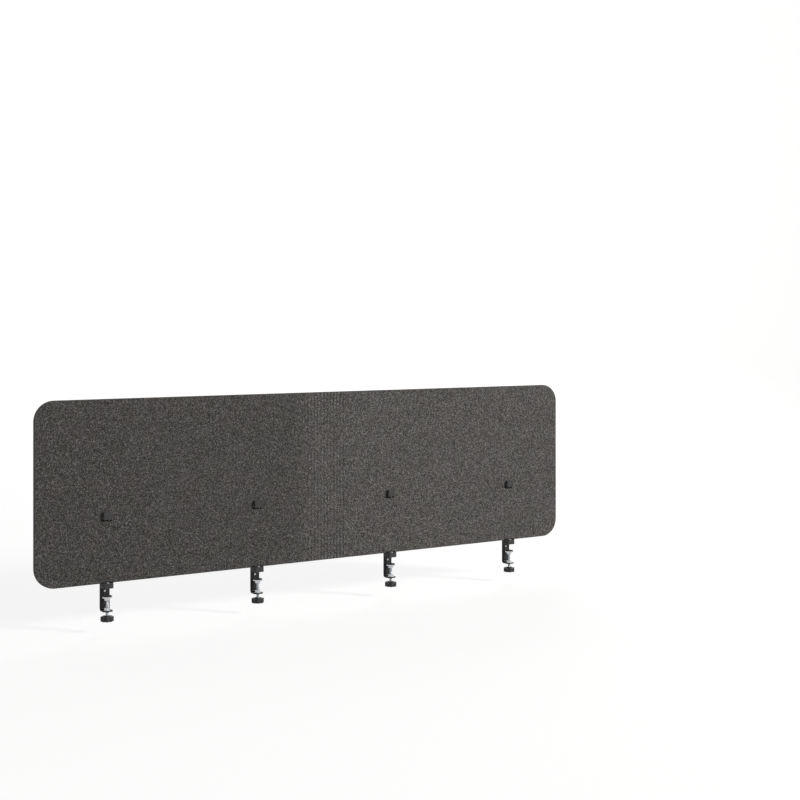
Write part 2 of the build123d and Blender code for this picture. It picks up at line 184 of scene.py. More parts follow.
@dataclass(frozen=True)
class FeltFinish:
    """Needle-punched PET felt, pressed flat: charcoal fibres with paler and darker ones among them.

    The fibres are 0.02 to 0.05 mm thick and lie in tufts of about 1 mm. A pixel of the main view covers 3 mm,
    so tufts, fibres and specks are drawn at 2 to 2.6 mm, or they would average to one grey.
    """

    name: str = "needle_punched_pet_felt"
    ground: str = "#393837"
    pale_fibre: str = "#969492"
    dark_fibre: str = "#0b0a0a"
    warm_tint: str = "#403936"
    cool_tint: str = "#323738"
    plum_tint: str = "#41383f"
    olive_tint: str = "#3a3a2f"
    cloud: float = 45.0 * MM
    haze: float = 27.0 * MM
    haze_share: float = 0.55
    tint_share: float = 0.95
    tuft: float = 2.6 * MM
    speck: float = 2.0 * MM
    dark_spacing: float = 2.4 * MM
    dark_share: float = 0.5
    dark_relief: float = -0.5
    pale_spacing: float = 2.0 * MM
    pale_share: float = 0.2
    pale_relief: float = 0.6
    nap: float = 0.35 * MM
    # Painted light from the left end of the grooved band rightwards, and painted shade slowly back towards
    # the right end
    painted_light_span: tuple[float, float] = (-90 * MM, -45 * MM)
    painted_light_step: float = 1.31
    painted_shade_span: tuple[float, float] = (100 * MM, 800 * MM)
    painted_shade_end: float = 0.9
    # Painted shade in the creases, read from the board's points, and its depth where the clouds are warm and
    # where cool
    painted_shade_attribute: str = "crease"
    painted_crease_shades: tuple[float, float] = (0.475, 0.95)

    def material(self) -> Material:
        """Clouds of tint, then tufts, then pale and dark fibres, with the same fibres as relief.

        The tufts take painted shade in their hollows and painted light on their crowns. Painted light makes
        all from the left end of the grooved band rightwards a little paler, and painted shade darkens it
        slowly towards the right end. Painted shade darkens the creases, most where the clouds are cool, and
        painted light lifts the ridges beside them.

        Returns:
            The material.
        """
        # To the eye: dead matt and soft, salt and pepper tufts on charcoal, and a faint bloom at a flat angle
        shader = Shader(bpy.data.materials.new(self.name))
        add = shader.add
        cloud = add("TexNoise", {"W": 1.0, "Scale": 1 / self.cloud, "Detail": 3.0, "Roughness": 0.55})
        cloud = add("MapRange", {"Value": cloud, "From Min": 0.35, "From Max": 0.65})
        haze = add("TexNoise", {"W": 6.0, "Scale": 1 / self.haze, "Detail": 3.0, "Roughness": 0.55})
        haze = add("MapRange", {"Value": haze, "From Min": 0.38, "From Max": 0.62})
        warmth = add("Mix", {FACTOR: cloud, UNDER: self.warm_tint, OVER: self.cool_tint}, MIXED)
        hue = add("Mix", {FACTOR: haze, UNDER: self.plum_tint, OVER: self.olive_tint}, MIXED)
        tint = add("Mix", {FACTOR: self.haze_share, UNDER: warmth, OVER: hue}, MIXED)
        colour = add("Mix", {FACTOR: self.tint_share, UNDER: self.ground, OVER: tint}, MIXED)

        tuft = add("TexNoise", {
            "W": 2.0, "Scale": 1 / self.tuft, "Detail": 5.0, "Roughness": 0.72, "Distortion": 0.9,
        })
        # The tufts' hollows take the dark fibre and their crowns the pale one: fibres of the melange, placed
        # as painted shade in the hollows and painted light on the crowns
        hollow_painted_shade = add("MapRange", {
            "Value": tuft, "From Min": 0.4, "From Max": 0.53, "To Min": 1.0, "To Max": 0.0,
        })
        crown_painted_light = add("MapRange", {"Value": tuft, "From Min": 0.51, "From Max": 0.62, "To Max": 0.8})
        speck = add("TexNoise", {
            "W": 5.0, "Scale": 1 / self.speck, "Detail": 3.0, "Roughness": 0.6, "Distortion": 0.6,
        })
        speck = add("MapRange", {"Value": speck, "From Min": 0.58, "From Max": 0.66, "To Max": 0.7})
        dark = shader.threads(self.dark_spacing, seed=4.0, width=0.03)
        pale = shader.threads(self.pale_spacing, seed=3.0, width=0.022)
        for share, fibre in (
            (hollow_painted_shade, self.dark_fibre),
            (crown_painted_light, self.pale_fibre),
            (add("Math", {0: dark, 1: self.dark_share}, operation="MULTIPLY"), self.dark_fibre),
            (add("Math", {0: pale, 1: self.pale_share}, operation="MULTIPLY"), self.pale_fibre),
            (speck, self.pale_fibre),
        ):
            colour = add("Mix", {FACTOR: share, UNDER: colour, OVER: fibre}, MIXED)

        # Painted light: paler from the left end of the grooved band rightwards; painted shade: darker slowly
        # towards the right end
        across = add("SeparateXYZ", {"Vector": shader.place}, "X")
        for (start, end), last in ((self.painted_light_span, self.painted_light_step), (self.painted_shade_span, self.painted_shade_end)):
            painted_level = add("MapRange", {
                "Value": across, "From Min": start, "From Max": end, "To Min": 1.0, "To Max": last,
            })
            colour = add("VectorMath", {0: colour, "Scale": painted_level}, operation="SCALE")
        # Painted shade in the creases and painted light on the ridges beside them
        crease = add("Attribute", output="Fac", attribute_name=self.painted_shade_attribute)
        faint, full = self.painted_crease_shades
        shade = add("MapRange", {"Value": cloud, "To Min": faint, "To Max": full})
        shade = add("Math", {0: crease, 1: shade}, operation="MULTIPLY")
        kept = add("Math", {0: 1.0, 1: shade}, operation="SUBTRACT")
        colour = add("VectorMath", {0: colour, "Scale": kept}, operation="SCALE")

        relief = add("Math", {0: pale, 1: self.pale_relief, 2: tuft}, operation="MULTIPLY_ADD")
        relief = add("Math", {0: dark, 1: self.dark_relief, 2: relief}, operation="MULTIPLY_ADD")
        return shader.close(relief, self.nap, {
            "Base Color": colour,
            "Roughness": 0.95,
            "Specular IOR Level": 0.15,
            "Sheen Weight": 0.12,
            "Sheen Roughness": 0.6,
        })


@dataclass(frozen=True)
class FeltEdgeFinish:
    """PET felt cut through with a knife or a punch: the same fibres end on, packed in layers.

    The web's layers are about 0.5 mm thick. They are drawn at 1.1 mm, and the fibre ends at 1.6 mm, so that
    they show.
    """

    name: str = "knife_cut_pet_felt"
    ground: str = "#5a5653"
    pale_fibre: str = "#908c88"
    dark_fibre: str = "#2c2a29"
    layer: float = 1.1 * MM
    drawn_out: tuple[float, float, float] = (0.12, 1.0, 0.12)
    grain: float = 1.6 * MM
    nap: float = 0.25 * MM

    def material(self) -> Material:
        """Noise drawn out along the board and up it, so that it lies in layers through the thickness.

        Returns:
            The material.
        """
        # To the eye: a fuzzy matt band streaked lengthwise, paler than the face where cut ends catch light
        shader = Shader(bpy.data.materials.new(self.name))
        add = shader.add
        layers = add("TexNoise", {
            "Vector": add("Mapping", {"Vector": shader.place, "Scale": self.drawn_out}),
            "W": 1.0, "Scale": 1 / self.layer, "Detail": 3.0, "Roughness": 0.6, "Distortion": 0.3,
        })
        seam = add("MapRange", {
            "Value": layers, "From Min": 0.35, "From Max": 0.6, "To Min": 0.5, "To Max": 0.0,
        })
        grain = add("TexNoise", {"W": 2.0, "Scale": 1 / self.grain, "Detail": 4.0, "Roughness": 0.7})
        ends = add("MapRange", {"Value": grain, "From Min": 0.5, "From Max": 0.75, "To Max": 0.7})
        shade = add("Mix", {FACTOR: seam, UNDER: self.ground, OVER: self.dark_fibre}, MIXED)
        return shader.close(add("Math", {0: layers, 1: grain}, operation="ADD"), self.nap, {
            "Base Color": add("Mix", {FACTOR: ends, UNDER: shade, OVER: self.pale_fibre}, MIXED),
            "Roughness": 0.95,
            "Specular IOR Level": 0.15,
            "Sheen Weight": 0.1,
        })


@dataclass(frozen=True)
class PowderCoatFinish:
    """Steel, powder coated black and stoved.

    Its orange peel is 1 to 2 mm across and about 0.01 mm deep, and is drawn 0.03 mm deep so that it shows.
    """

    name: str = "powder_coated_steel"
    colour: str = "#161617"
    worn: str = "#252526"
    peel: float = 1.1 * MM
    peel_depth: float = 0.03 * MM
    wear: float = 22.0 * MM

    def material(self) -> Material:
        """Rounded pits as relief, and slow patches of slightly duller coat.

        Returns:
            The material.
        """
        # To the eye: satin black whose soft highlights are broken by a faint dimpling
        shader = Shader(bpy.data.materials.new(self.name))
        add = shader.add
        peel = add("TexNoise", {"W": 1.0, "Scale": 1 / self.peel, "Detail": 1.0, "Roughness": 0.5})
        wear = add("TexNoise", {"W": 2.0, "Scale": 1 / self.wear, "Detail": 3.0, "Roughness": 0.6})
        dull = add("MapRange", {"Value": wear, "From Min": 0.4, "From Max": 0.7, "To Max": 0.6})
        return shader.close(peel, self.peel_depth, {
            "Base Color": add("Mix", {FACTOR: dull, UNDER: self.colour, OVER: self.worn}, MIXED),
            "Roughness": add("MapRange", {
                "Value": wear, "From Min": 0.3, "From Max": 0.7, "To Min": 0.38, "To Max": 0.5,
            }),
            "Specular IOR Level": 0.3,
        })


@dataclass(frozen=True)
class MouldedFinish:
    """ABS moulded in a spark-eroded tool.

    Its grain is about 0.1 mm across, and is drawn at 0.45 mm so that it shows.
    """

    name: str = "grain_moulded_abs"
    colour: str = "#3b3b3c"
    rubbed: str = "#464646"
    grain: float = 0.45 * MM
    grain_depth: float = 0.03 * MM
    wear: float = 9.0 * MM

    def material(self) -> Material:
        """Fine grain as relief, with faint patches where hands rub it paler.

        Returns:
            The material.
        """
        # To the eye: matt charcoal with an even, fine grain, and a dull sheen on its rounded edges
        shader = Shader(bpy.data.materials.new(self.name))
        add = shader.add
        grain = add("TexNoise", {"W": 1.0, "Scale": 1 / self.grain, "Detail": 3.0, "Roughness": 0.7})
        wear = add("TexNoise", {"W": 2.0, "Scale": 1 / self.wear, "Detail": 3.0, "Roughness": 0.6})
        rubbed = add("MapRange", {"Value": wear, "From Min": 0.45, "From Max": 0.7, "To Max": 0.7})
        return shader.close(grain, self.grain_depth, {
            "Base Color": add("Mix", {FACTOR: rubbed, UNDER: self.colour, OVER: self.rubbed}, MIXED),
            "Roughness": add("MapRange", {
                "Value": wear, "From Min": 0.3, "From Max": 0.7, "To Min": 0.52, "To Max": 0.64,
            }),
            "Specular IOR Level": 0.2,
        })


@dataclass(frozen=True)
class RubberFinish:
    """EPDM rubber, moulded.

    Its grain is about 0.1 mm across, and is drawn at 0.5 mm so that it shows.
    """

    name: str = "moulded_epdm_rubber"
    colour: str = "#1d1d1d"
    bloom: str = "#33322f"
    bloom_patch: float = 5.0 * MM
    grain: float = 0.5 * MM
    grain_depth: float = 0.03 * MM

    def material(self) -> Material:
        """Pale bloom in soft patches over a fine grain.

        Returns:
            The material.
        """
        # To the eye: dull black, greyed here and there where wax has come to the surface
        shader = Shader(bpy.data.materials.new(self.name))
        add = shader.add
        patch = add("TexNoise", {"W": 1.0, "Scale": 1 / self.bloom_patch, "Detail": 4.0, "Roughness": 0.6})
        grey = add("MapRange", {"Value": patch, "From Min": 0.45, "From Max": 0.7, "To Max": 0.6})
        grain = add("TexNoise", {"W": 2.0, "Scale": 1 / self.grain, "Detail": 2.0, "Roughness": 0.6})
        return shader.close(grain, self.grain_depth, {
            "Base Color": add("Mix", {FACTOR: grey, UNDER: self.colour, OVER: self.bloom}, MIXED),
            "Roughness": 0.82,
            "Specular IOR Level": 0.35,
        })


@dataclass(frozen=True)
class ZincFinish:
    """Steel, electroplated with zinc and passivated clear.

    Its crystals are about 0.01 mm across, and are drawn at 0.7 mm so that they break up the highlights.
    """

    name: str = "zinc_plated_steel"
    metal: str = "#b9bcc0"
    straw: str = "#c2bba6"
    blue: str = "#a3adb8"
    bloom: float = 6.0 * MM
    crystal: float = 0.7 * MM
    crystal_depth: float = 0.012 * MM

    def material(self) -> Material:
        """Slow patches of straw and blue over fine crystals that roughen the metal.

        Returns:
            The material.
        """
        # To the eye: soft grey metal, half bright, with a faint blue and straw bloom
        shader = Shader(bpy.data.materials.new(self.name))
        add = shader.add
        bloom = add("TexNoise", {
            "W": 1.0, "Scale": 1 / self.bloom, "Detail": 3.0, "Roughness": 0.5, "Distortion": 0.6,
        })
        warm = add("MapRange", {"Value": bloom, "From Min": 0.5, "From Max": 0.7, "To Max": 0.8})
        cool = add("MapRange", {"Value": bloom, "From Min": 0.5, "From Max": 0.3, "To Max": 0.8})
        colour = add("Mix", {FACTOR: warm, UNDER: self.metal, OVER: self.straw}, MIXED)
        crystal = add("TexNoise", {"W": 2.0, "Scale": 1 / self.crystal, "Detail": 3.0, "Roughness": 0.7})
        return shader.close(crystal, self.crystal_depth, {
            "Base Color": add("Mix", {FACTOR: cool, UNDER: colour, OVER: self.blue}, MIXED),
            "Metallic": 1.0,
            "Roughness": add("MapRange", {
                "Value": crystal, "From Min": 0.3, "From Max": 0.7, "To Min": 0.28, "To Max": 0.46,
            }),
        })


@dataclass(frozen=True)
class BackdropFinish:
    """Pale studio paper from the roll, lit through so that it looks white and still takes a shadow."""

    name: str = "studio_paper"
    colour: str = "#cfcfcf"
    glow: float = 1.38
    glow_share: float = 0.6

    def material(self) -> Material:
        """Matt paper, with a white glow mixed in where the camera, a gloss or glass sees it.

        Returns:
            The material.
        """
        # To the eye: even white without texture, greyed only by the object's shadow
        shader = Shader(bpy.data.materials.new(self.name))
        share = shader.add("Math", {0: background_seen(shader), 1: self.glow_share}, operation="MULTIPLY")
        paper = shader.add("BsdfDiffuse", {"Color": self.colour})
        glow = shader.add("Emission", {"Color": WHITE, "Strength": self.glow})
        shader.add("OutputMaterial", {"Surface": shader.add("MixShader", {"Fac": share, 1: paper, 2: glow})})
        return shader.owner


def background_seen(shader: Shader) -> NodeSocket:
    """One for a ray by which the camera, a gloss or glass sees the background, and zero for one that lights.

    Args:
        shader: The tree of a backdrop's material or of the world.

    Returns:
        The mask.
    """
    seen = shader.add("LightPath", output="Is Camera Ray")
    for way in ("Is Glossy Ray", "Is Transmission Ray"):
        seen = shader.add("Math", {0: seen, 1: shader.add("LightPath", output=way)}, operation="MAXIMUM")
    return seen


def cells(number: np.ndarray) -> np.ndarray:
    """The quads of a grid, each facing the way of its first direction crossed with its second.

    Args:
        number: The grid's point numbers.

    Returns:
        Four point numbers for each cell.
    """
    return np.stack([number[:-1, :-1], number[1:, :-1], number[1:, 1:], number[:-1, 1:]], axis=-1)


def border(number: np.ndarray) -> np.ndarray:
    """The point numbers once round a grid's border.

    Args:
        number: The grid's point numbers.

    Returns:
        One row of them, without the first again at its end.
    """
    return np.concatenate([number[:-1, 0], number[-1, :-1], number[:0:-1, -1], number[0, :0:-1]])


def add_mesh(
    name: str,
    points: np.ndarray,
    quads: np.ndarray,
    materials: list[Material],
    zones: np.ndarray | None = None,
    sharp_degrees: float = 35.0,
) -> Object:
    """Makes an object from whole arrays.

    Args:
        name: The object's name.
        points: x, y and z of each vertex.
        quads: Four vertex numbers for each face, turned so that it faces outwards.
        materials: The object's materials.
        zones: The material number of each face.
        sharp_degrees: Edges that turn by more than this are shaded sharp.

    Returns:
        The object, at the origin.
    """
    mesh = bpy.data.meshes.new(name)
    mesh.vertices.add(points.size // 3)
    mesh.vertices.foreach_set("co", points.astype(np.float32).ravel())
    mesh.loops.add(quads.size)
    mesh.loops.foreach_set("vertex_index", quads.astype(np.int32).ravel())
    mesh.polygons.add(quads.size // 4)
    mesh.polygons.foreach_set("loop_start", np.arange(0, quads.size, 4, dtype=np.int32))
    for material in materials:
        mesh.materials.append(material)
    if zones is not None:
        mesh.polygons.foreach_set("material_index", zones.astype(np.int32))
    mesh.polygons.foreach_set("use_smooth", np.ones(len(mesh.polygons), dtype=bool))
    mesh.update(calc_edges=True)
    mesh.validate()
    mesh.set_sharp_from_angle(angle=math.radians(sharp_degrees))
    piece = bpy.data.objects.new(name, mesh)
    bpy.context.collection.objects.link(piece)
    return piece


def round_surface(
    profile: list[tuple[float | np.ndarray, float]], columns: int, centre: tuple[float, float]
) -> tuple[np.ndarray, np.ndarray]:
    """A closed surface about an upright axis: x = cx + r cos a, y = cy + r sin a, z as given.

    The profile runs from the axis at the bottom, out, up and back to the axis at the top. Its first and last
    ring have nearly no radius, and a row of quads across each closes it.

    Args:
        profile: Radius, one for the whole ring or one for each column, and z.
        columns: How many points a ring has.
        centre: x and y of the axis.

    Returns:
        Points and quads.
    """
    angle = np.linspace(0, 2 * np.pi, columns, endpoint=False)
    radii = np.stack([np.broadcast_to(radius, columns) for radius, _ in profile])
    heights = np.array([[height] for _, height in profile])
    points = np.stack(np.broadcast_arrays(
        centre[0] + radii * np.cos(angle), centre[1] + radii * np.sin(angle), heights
    ), axis=-1)
    number = np.arange(radii.size).reshape(radii.shape)
    after = np.roll(number, -1, axis=1)
    quads = np.stack([number[:-1], after[:-1], after[1:], number[1:]], axis=-1).reshape(-1, 4)
    half = np.arange(columns // 2 - 1)
    bottom, top = number[0], number[-1]
    bottom_cap = np.stack([bottom[half], bottom[-half - 1], bottom[-half - 2], bottom[half + 1]], axis=-1)
    top_cap = np.stack([top[half], top[half + 1], top[-half - 2], top[-half - 1]], axis=-1)
    return points, np.concatenate([quads, bottom_cap, top_cap])


@dataclass
class FeltBoard:
    """The felt board: rounded outline, hook slots, rear grooves and the creases in front of them."""

    face_felt: Material
    cut_felt: Material
    slot_felt: Material
    slot_middles: list[float]
    corner_radius: float = 50 * MM
    softening: float = 0.8 * MM
    slot_width: float = 26 * MM
    slot_height: float = 9.5 * MM
    slot_corner: float = 1.5 * MM
    slot_above_lower_edge: float = 150.5 * MM
    groove_count: int = 12
    groove_pitch: float = 10 * MM
    groove_depth: float = 8 * MM
    groove_half_width: float = 1.5 * MM
    crease_half_width: float = 2.5 * MM
    crease_depth: float = 0.5 * MM
    slight_crease_share: float = 0.7
    deep_creases: int = 3
    # Painted light on the ridges beside a crease, and how the creases' painted shade grows from mid height to
    # the edges
    painted_ridge_light: float = 0.35
    mid_height_share: float = 0.5
    rise_power: int = 6
    # Columns across a crease and across a groove, in half widths, and which of them lie on a groove's floor
    crease_columns: tuple[float, ...] = (-1.8, -1.0, -0.7, -0.35, 0.0, 0.35, 0.7, 1.0, 1.8)
    groove_columns: tuple[float, ...] = (-1.5, -1.0, -0.9, -0.45, 0.0, 0.45, 0.9, 1.0, 1.5)
    groove_floor: tuple[int, ...] = (0, 0, 1, 1, 1, 1, 1, 0, 0)
    column_step: float = 10 * MM
    row_step: float = 10 * MM
    clear_share: float = 0.4
    corner_columns: int = 14
    wave: float = 0.12 * MM
    wave_fade: float = 20 * MM
    # The sines' lengths over 2 pi, how far two of them are bent, and the phases in front and behind
    wave_lengths: tuple[float, ...] = (31 * MM, 43 * MM, 27 * MM, 57 * MM, 19 * MM)
    wave_bends: tuple[float, float] = (1.7, 1.3)
    wave_phases: tuple[float, float] = (0.4, 2.1)

    def __post_init__(self) -> None:
        """Reads the board's box and works out its columns and rows."""
        low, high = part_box("panel")
        self.half_width = (high[0] - low[0]) / 2
        self.low, self.high = low[2], high[2]
        self.slot_low = self.low + self.slot_above_lower_edge
        self.slot_high = self.slot_low + self.slot_height
        self.columns()
        self.rows()
        self.front_y = low[1] + self.padded(self.front_depth)
        self.back_y = high[1] - self.padded(self.back_depth)

    def clear(self, plain: np.ndarray, edges: np.ndarray, step: float) -> np.ndarray:
        """The plain stations without those that come too near to a slot's edge."""
        return plain[np.abs(plain[:, None] - edges).min(axis=1) > self.clear_share * step]

    def columns(self) -> None:
        """Straight stations along X, closest at the slots and in the grooved band.

        Each has its x in front and behind, its crease depth in front, d (1 + cos(pi u)) / 2 with u the
        distance from the crease's middle in half widths, its groove depth behind, and a painted tone in
        front:
        painted shade in a crease, painted light on the ridges beside it. The creases at the right end of the
        band are the deepest, as the board is folded there most.
        """
        reach = self.half_width - self.corner_radius
        side, corner = self.slot_width / 2, self.slot_width / 2 - self.slot_corner
        slot_edges = np.add.outer(self.slot_middles, [-side, -corner, corner, side]).ravel()
        grooves = (np.arange(self.groove_count) - (self.groove_count - 1) / 2) * self.groove_pitch
        plain = np.linspace(-reach, reach, round(2 * reach / self.column_step) + 1)
        plain = self.clear(plain, slot_edges, self.column_step)
        plain = plain[np.abs(plain) > grooves[-1] + self.groove_pitch / 2]
        even = np.concatenate([plain, slot_edges])
        level = np.zeros_like(even)

        across = np.array(self.crease_columns)
        in_front = np.add.outer(grooves, across * self.crease_half_width)
        behind = np.add.outer(grooves, np.array(self.groove_columns) * self.groove_half_width)
        valley = 0.5 * (1 + np.cos(np.pi * np.clip(across, -1, 1)))
        # Painted shade in a crease, painted light on the ridges beside it
        tone = np.where(np.abs(across) > 1, -self.painted_ridge_light, valley)
        share = np.full(self.groove_count, self.slight_crease_share)
        share[-self.deep_creases:] = 1.0
        floors = np.tile(self.groove_floor, (self.groove_count, 1))

        order = np.argsort(np.concatenate([even, in_front.ravel()]))
        self.front_x, self.back_x, self.front_depth, self.back_depth, self.front_painted_shade = (
            np.concatenate([outside, inside.ravel()])[order]
            for outside, inside in (
                (even, in_front),
                (even, behind),
                (level, np.outer(share, valley) * self.crease_depth),
                (level, floors * self.groove_depth),
                (level, np.outer(share, tone)),
            )
        )

    def rows(self) -> None:
        """Heights of the rows, with the slots' edges among them."""
        corner = self.slot_corner
        slot_rows = np.array([
            self.slot_low, self.slot_low + corner, self.slot_high - corner, self.slot_high,
        ])
        plain = np.linspace(self.low, self.high, round((self.high - self.low) / self.row_step) + 1)
        self.row_z = np.sort(np.concatenate([self.clear(plain, slot_rows, self.row_step), slot_rows]))

    def outline(self, straight_x: np.ndarray, inset: float) -> tuple[np.ndarray, np.ndarray]:
        """x and z of every grid point for one inset of the outline.

        Between the corners a column is upright. At a corner the columns follow the arc:
        x = c + (R - inset) sin a, and the column's ends lie (R - inset) cos a beyond the arc's centre.

        Args:
            straight_x: x of the straight columns.
            inset: How far the outline is drawn in.

        Returns:
            x and z, columns by rows.
        """
        radius = self.corner_radius - inset
        centre = self.half_width - self.corner_radius
        turn = np.linspace(0, np.pi / 2, self.corner_columns + 1)[1:]
        right = centre + radius * np.sin(turn)
        x = np.concatenate([-right[::-1], straight_x, right])
        drop = self.corner_radius - radius * np.cos(turn)
        drop = np.concatenate([drop[::-1], np.full(len(straight_x), inset), drop])
        share = (self.row_z - self.low) / (self.high - self.low)
        z = self.low + drop[:, None] + share * (self.high - self.low - 2 * drop[:, None])
        inner = slice(self.corner_columns, self.corner_columns + len(straight_x))
        z[inner] = np.clip(self.row_z, self.low + inset, self.high - inset)
        return np.broadcast_to(x[:, None], z.shape), z

    def padded(self, values: np.ndarray) -> np.ndarray:
        """Straight-column values with zeros for the corner columns on each side, as an upright array."""
        return np.pad(values, self.corner_columns)[:, None]

    def rounded_slots(self, x: np.ndarray, z: np.ndarray) -> tuple[np.ndarray, np.ndarray]:
        """Moves each slot's four corner points in to the middle of its corner arc.

        Args:
            x: x of a face's grid.
            z: z of a face's grid.

        Returns:
            The moved x and z.
        """
        x, z = x.copy(), z.copy()
        cut = self.slot_corner * (1 - math.sqrt(0.5))
        for middle in self.slot_middles:
            for side in (-1, 1):
                column = np.argmin(np.abs(x[:, 0] - middle - side * self.slot_width / 2))
                for height, way in ((self.slot_low, 1), (self.slot_high, -1)):
                    row = np.argmin(np.abs(self.row_z - height))
                    x[column, row] -= side * cut
                    z[column, row] += way * cut
        return x, z

    def waviness(self, x: np.ndarray, z: np.ndarray, phase: float) -> np.ndarray:
        """Slow unevenness of a pressed face, which fades out at the outline.

        Its depth is w |m| with m the mean of sin(x / a + b1 sin(z / b + p)), sin(z / c + b2 sin(x / d + 2 p))
        and sin((x + z) / e + p), where a to e are the wave lengths, b1 and b2 the bends and p the phase.

        Args:
            x: x of a face's grid.
            z: z of a face's grid.
            phase: What tells one face from the other.

        Returns:
            How far each point lies under the flat face, in metres.
        """
        a, b, c, d, e = self.wave_lengths
        upright_bend, level_bend = self.wave_bends
        sines = (
            np.sin(x / a + upright_bend * np.sin(z / b + phase))
            + np.sin(z / c + level_bend * np.sin(x / d + 2 * phase))
            + np.sin((x + z) / e + phase)
        )
        to_edge = np.minimum(z - self.low, self.high - z)
        to_end = self.half_width - np.abs(x)
        fade = np.clip(np.minimum(to_edge, to_end) / self.wave_fade, 0, 1)
        return np.abs(self.wave * sines / 3 * fade)

    def build(self) -> Object:
        """Front and back grids, the rim between them and the slots' walls.

        Returns:
            The board.
        """
        front_x, front_z = self.rounded_slots(*self.outline(self.front_x, self.softening))
        back_x, back_z = self.rounded_slots(*self.outline(self.back_x, self.softening))
        front_phase, back_phase = self.wave_phases
        front_y = self.front_y + self.waviness(front_x, front_z, front_phase)
        grooved = self.padded(self.back_depth) > 0
        back_y = self.back_y - np.where(grooved, 0, self.waviness(back_x, back_z, back_phase))
        front = np.stack([front_x, front_y, front_z], axis=-1)
        back = np.stack([back_x, back_y, back_z], axis=-1)

        face_points = front_x.size
        number = np.arange(face_points).reshape(front_x.shape)
        loop = border(number)
        rim = self.rim(loop)
        points = np.concatenate([front.reshape(-1, 3), back.reshape(-1, 3), rim.reshape(-1, 3)])
        rim_number = 2 * face_points + np.arange(rim.size // 3).reshape(len(rim), -1)
        rings = np.concatenate([loop[None], rim_number, face_points + loop[None]])
        rim_quads = cells(np.pad(rings, ((0, 0), (0, 1)), mode="wrap")).reshape(-1, 4)

        hole = self.hole_cells(front_x)
        solid = cells(number)[~hole]
        groove_cells = np.broadcast_to(grooved[:-1] | grooved[1:], hole.shape)
        back_zone = np.where(groove_cells[~hole], Zone.CUT.value, Zone.FACE.value)
        walls = self.slot_walls(number, hole, face_points)
        quads = np.concatenate([solid, face_points + solid[:, ::-1], rim_quads, walls])
        zones = np.concatenate([
            np.full(len(solid), Zone.FACE.value), back_zone,
            np.full(len(rim_quads), Zone.CUT.value), np.full(len(walls), Zone.SLOT.value),
        ])
        felts = [self.face_felt, self.cut_felt, self.slot_felt]
        board = add_mesh("felt_board", points, quads, felts, zones)
        self.paint_crease_shade(board, face_points)
        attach(board, "screen")
        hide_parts("panel")
        return board

    def paint_crease_shade(self, board: Object, face_points: int) -> None:
        """Writes the creases' painted shade, and the painted light on the ridges beside them, to the board's
        points, from which the felt's finish reads it.

        The painted shade and light are strongest at the upper and lower edge: times m + (1 - m) h^6, with h
        from -1 at the lower edge to 1 at the upper, and m its share at mid height.

        Args:
            board: The board.
            face_points: How many points the front face has, which are the board's first.
        """
        from_middle = 2 * (self.row_z - self.low) / (self.high - self.low) - 1
        along = self.mid_height_share + (1 - self.mid_height_share) * from_middle ** self.rise_power
        tone = np.zeros(len(board.data.vertices), dtype=np.float32)
        tone[:face_points] = (self.padded(self.front_painted_shade) * along).ravel()
        mark = board.data.attributes.new(FeltFinish.painted_shade_attribute, "FLOAT", "POINT")
        mark.data.foreach_set("value", tone)

    def rim(self, loop: np.ndarray) -> np.ndarray:
        """Rings between the two faces: a quarter round, two flat steps and a quarter round.

        On the rounds the inset is s (1 - sin a) and the depth s (1 - cos a).

        Args:
            loop: Numbers of the outline's grid points.

        Returns:
            Ring by ring, the points' x, y and z.
        """
        turns = QUARTER[1:]
        insets, depths = self.softening * (1 - np.sin(turns)), self.softening * (1 - np.cos(turns))
        steps = [(inset, 0.0, depth) for inset, depth in zip(insets, depths)]
        steps += [(0.0, 1 / 3, 0.0), (0.0, 2 / 3, 0.0)]
        steps += [(inset, 1.0, -depth) for inset, depth in zip(insets[::-1], depths[::-1])]
        return np.stack([self.ring(loop, *step) for step in steps])

    def ring(self, loop: np.ndarray, inset: float, share: float, depth: float) -> np.ndarray:
        """One ring of the rim.

        Args:
            loop: Numbers of the outline's grid points.
            inset: How far the ring is drawn in.
            share: Place between the front face, 0, and the back face, 1.
            depth: Added to the ring's y.

        Returns:
            The points' x, y and z.
        """
        front_x, z = self.outline(self.front_x, inset)
        back_x, _ = self.outline(self.back_x, inset)
        x = front_x + share * (back_x - front_x)
        y = np.broadcast_to(self.front_y + share * (self.back_y - self.front_y) + depth, z.shape)
        return np.stack([x, y, z], axis=-1).reshape(-1, 3)[loop]

    def hole_cells(self, x: np.ndarray) -> np.ndarray:
        """Grid cells that lie inside a slot.

        Args:
            x: x of the front grid.

        Returns:
            True for each cell in a slot, columns by rows.
        """
        middle_x = (x[:-1, 0] + x[1:, 0]) / 2
        middle_z = (self.row_z[:-1] + self.row_z[1:]) / 2
        across = np.abs(middle_x[:, None] - np.array(self.slot_middles)).min(axis=1) < self.slot_width / 2
        up = (middle_z > self.slot_low) & (middle_z < self.slot_high)
        return across[:, None] & up

    def slot_walls(self, number: np.ndarray, hole: np.ndarray, back_start: int) -> np.ndarray:
        """Quads between the two faces wherever a hole cell meets a solid one.

        Args:
            number: Numbers of the front grid's points.
            hole: The hole cells.
            back_start: Number of the back grid's first point.

        Returns:
            The walls' quads, which face into the slots.
        """
        wide = np.pad(hole, 1)
        below, above = hole & ~wide[1:-1, :-2], hole & ~wide[1:-1, 2:]
        left, right = hole & ~wide[:-2, 1:-1], hole & ~wide[2:, 1:-1]
        walls = []
        for mask, first, second in (
            (below, number[:-1, :-1], number[1:, :-1]),
            (right, number[1:, :-1], number[1:, 1:]),
            (above, number[1:, 1:], number[:-1, 1:]),
            (left, number[:-1, 1:], number[:-1, :-1]),
        ):
            a, b = first[mask], second[mask]
            walls.append(np.stack([a, b, b + back_start, a + back_start], axis=-1))
        return np.concatenate(walls)


